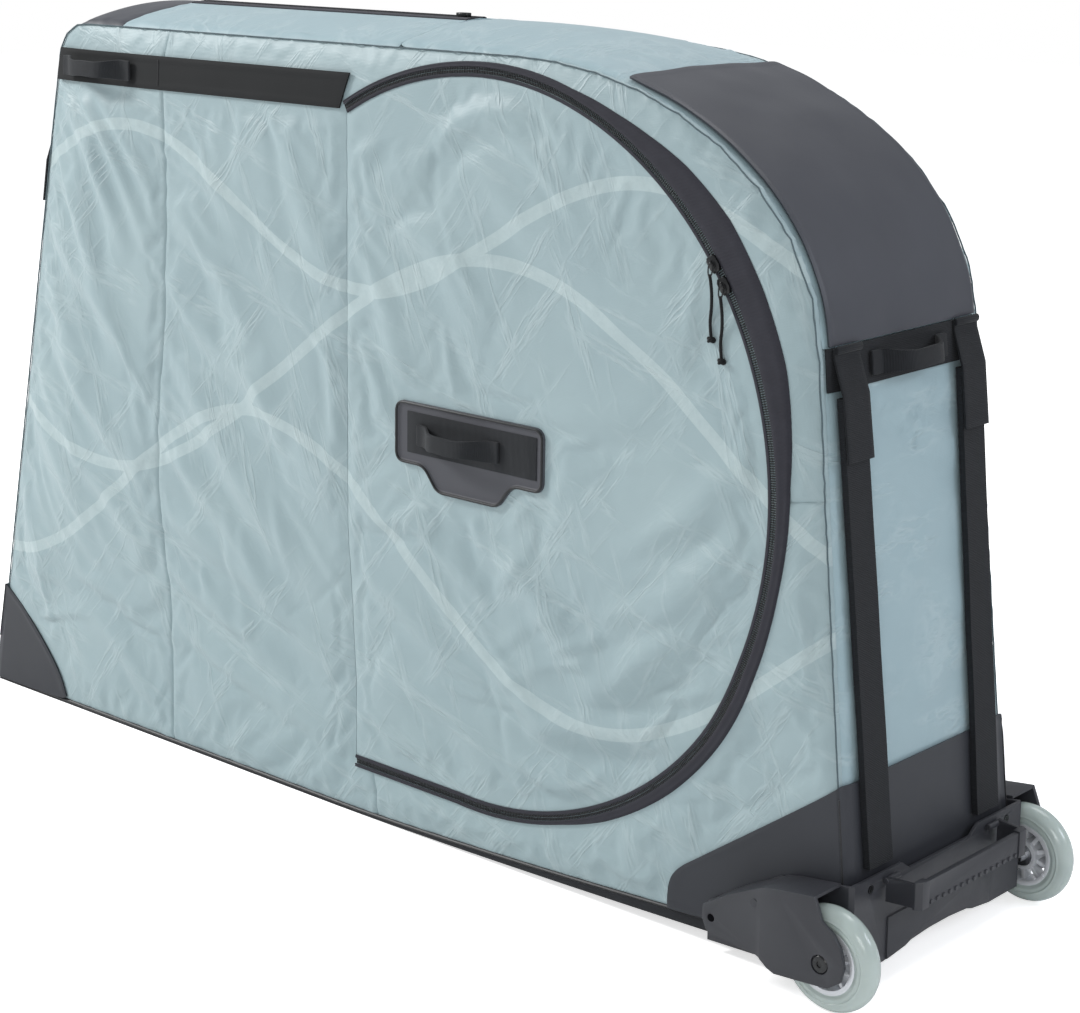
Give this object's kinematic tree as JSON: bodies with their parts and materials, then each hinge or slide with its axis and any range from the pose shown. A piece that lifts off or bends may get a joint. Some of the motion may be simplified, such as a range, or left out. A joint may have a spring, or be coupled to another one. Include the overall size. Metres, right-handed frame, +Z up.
{
  "type": "bike travel bag",
  "caption": "Padded soft bag for carrying a bicycle: D-shaped side doors, zipped top, stiffened ends, and a moulded rear carrier with guarded wheels and a towing grip.",
  "frame": {"origin": "centre of the bag's footprint, on the floor it stands on", "axes": "+X towards the wheeled rear end, +Y towards the far side, +Z up"},
  "size_m": [1.3463, 0.363, 0.8402],
  "materials": {
    "light_cloth": "coated woven polyester over foam, satin",
    "black_cloth": "smooth coated tarpaulin cloth, soft sheen",
    "webbing": "woven webbing, matt",
    "moulded_plastic": "moulded, fine texture",
    "board": "extruded sheet",
    "rod": "pultruded glass fibre, satin",
    "tyre": "cast polyurethane, glossy and slightly translucent",
    "hub": "moulded nylon, silver white",
    "steel": "turned",
    "zip_metal": "enamelled die casting",
    "cord": "braided cord with a knot"
  },
  "bodies": {
    "bag": {"arch_panel": "light_cloth", "base_board": "board", "base_skid": "black_cloth", "far_axle_bolt": "steel", "far_divider": "light_cloth", "far_shoulder_band": "black_cloth", "far_shoulder_grip": "webbing", "far_side_panel": "light_cloth", "far_wheel_guard": "moulded_plastic", "front_end_panel": "light_cloth", "front_far_rod": "rod", "front_far_sleeve": "webbing", "front_near_rod": "rod", "front_near_sleeve": "webbing", "hood": "black_cloth", "kick_patch": "black_cloth", "near_axle_bolt": "steel", "near_divider": "light_cloth", "near_shoulder_band": "black_cloth", "near_shoulder_grip": "webbing", "near_side_panel": "light_cloth", "near_wheel_guard": "moulded_plastic", "nose_cover": "black_cloth", "rear_cross_band": "webbing", "rear_end_panel": "light_cloth", "rear_far_rod": "rod", "rear_far_sleeve": "webbing", "rear_grip": "webbing", "rear_near_rod": "rod", "rear_near_sleeve": "webbing", "toe_patch": "black_cloth", "tow_grip": "moulded_plastic", "wheel_carrier": "moulded_plastic"},
    "near_door_leaf": {"near_door": "light_cloth", "near_grip_plate": "black_cloth", "near_door_grip": "webbing"},
    "near_upper_zip": {"near_upper_slider": "zip_metal", "near_upper_pull": "cord"},
    "near_lower_zip": {"near_lower_slider": "zip_metal", "near_lower_pull": "cord"},
    "near_lid": {"near_top_flap": "light_cloth"},
    "near_wheel": {"near_tyre": "tyre", "near_hub": "hub", "near_bearings": "steel"},
    "rear_near_cover": {"rear_near_sleeve_flap": "webbing"},
    "front_near_cover": {"front_near_sleeve_flap": "webbing"},
    "far_door_leaf": {"far_door": "light_cloth", "far_grip_plate": "black_cloth", "far_door_grip": "webbing"},
    "far_upper_zip": {"far_upper_slider": "zip_metal", "far_upper_pull": "cord"},
    "far_lower_zip": {"far_lower_slider": "zip_metal", "far_lower_pull": "cord"},
    "far_lid": {"far_top_flap": "light_cloth"},
    "far_wheel": {"far_tyre": "tyre", "far_hub": "hub", "far_bearings": "steel"},
    "rear_far_cover": {"rear_far_sleeve_flap": "webbing"},
    "front_far_cover": {"front_far_sleeve_flap": "webbing"},
    "main_zip": {"main_slider": "zip_metal"}
  },
  "joints": [
    {"name": "near_door_hinge", "type": "hinge", "parent": "bag", "child": "near_door_leaf", "pos_m": [-0.023, -0.13998, 0.428], "axis": [0, -0.0211, -0.9998], "range_deg": [0, 150]},
    {"name": "near_upper_track", "type": "hinge", "parent": "near_door_leaf", "child": "near_upper_zip", "pos_m": [0.157, -0.12589, 0.428], "axis": [0, -0.9998, 0.0206], "range_deg": [0, 77]},
    {"name": "near_lower_track", "type": "hinge", "parent": "near_door_leaf", "child": "near_lower_zip", "pos_m": [0.157, -0.12589, 0.428], "axis": [0, -0.9998, 0.0206], "range_deg": [-124, 0]},
    {"name": "near_top_hinge", "type": "hinge", "parent": "bag", "child": "near_lid", "pos_m": [-0.1825, -0.11295, 0.8145], "axis": [1, 0, 0], "range_deg": [0, 150]},
    {"name": "rear_near_flap_hinge", "type": "hinge", "parent": "bag", "child": "rear_near_cover", "pos_m": [0.56813, -0.09274, 0.583], "axis": [0, -1, 0], "range_deg": [0, 150]},
    {"name": "front_near_flap_hinge", "type": "hinge", "parent": "bag", "child": "front_near_cover", "pos_m": [-0.53288, -0.09366, 0.694], "axis": [0, 1, 0], "range_deg": [0, 150]},
    {"name": "near_wheel_axle", "type": "hinge", "parent": "bag", "child": "near_wheel", "pos_m": [0.623, -0.162, 0.05], "axis": [0, 1, 0], "continuous": true},
    {"name": "far_door_hinge", "type": "hinge", "parent": "bag", "child": "far_door_leaf", "pos_m": [-0.023, 0.13998, 0.428], "axis": [0, -0.0211, 0.9998], "range_deg": [0, 150]},
    {"name": "far_upper_track", "type": "hinge", "parent": "far_door_leaf", "child": "far_upper_zip", "pos_m": [0.157, 0.12589, 0.428], "axis": [0, -0.9998, -0.0206], "range_deg": [0, 77]},
    {"name": "far_lower_track", "type": "hinge", "parent": "far_door_leaf", "child": "far_lower_zip", "pos_m": [0.157, 0.12589, 0.428], "axis": [0, -0.9998, -0.0206], "range_deg": [-124, 0]},
    {"name": "far_top_hinge", "type": "hinge", "parent": "bag", "child": "far_lid", "pos_m": [-0.1825, 0.11295, 0.8145], "axis": [-1, 0, 0], "range_deg": [0, 150]},
    {"name": "rear_far_flap_hinge", "type": "hinge", "parent": "bag", "child": "rear_far_cover", "pos_m": [0.56813, 0.09274, 0.583], "axis": [0, -1, 0], "range_deg": [0, 150]},
    {"name": "front_far_flap_hinge", "type": "hinge", "parent": "bag", "child": "front_far_cover", "pos_m": [-0.53288, 0.09366, 0.694], "axis": [0, 1, 0], "range_deg": [0, 150]},
    {"name": "far_wheel_axle", "type": "hinge", "parent": "bag", "child": "far_wheel", "pos_m": [0.623, 0.162, 0.05], "axis": [0, 1, 0], "continuous": true},
    {"name": "main_track", "type": "slide", "parent": "near_lid", "child": "main_zip", "axis": [1, 0, 0], "range_m": [-0.39, 0]}
  ]
}
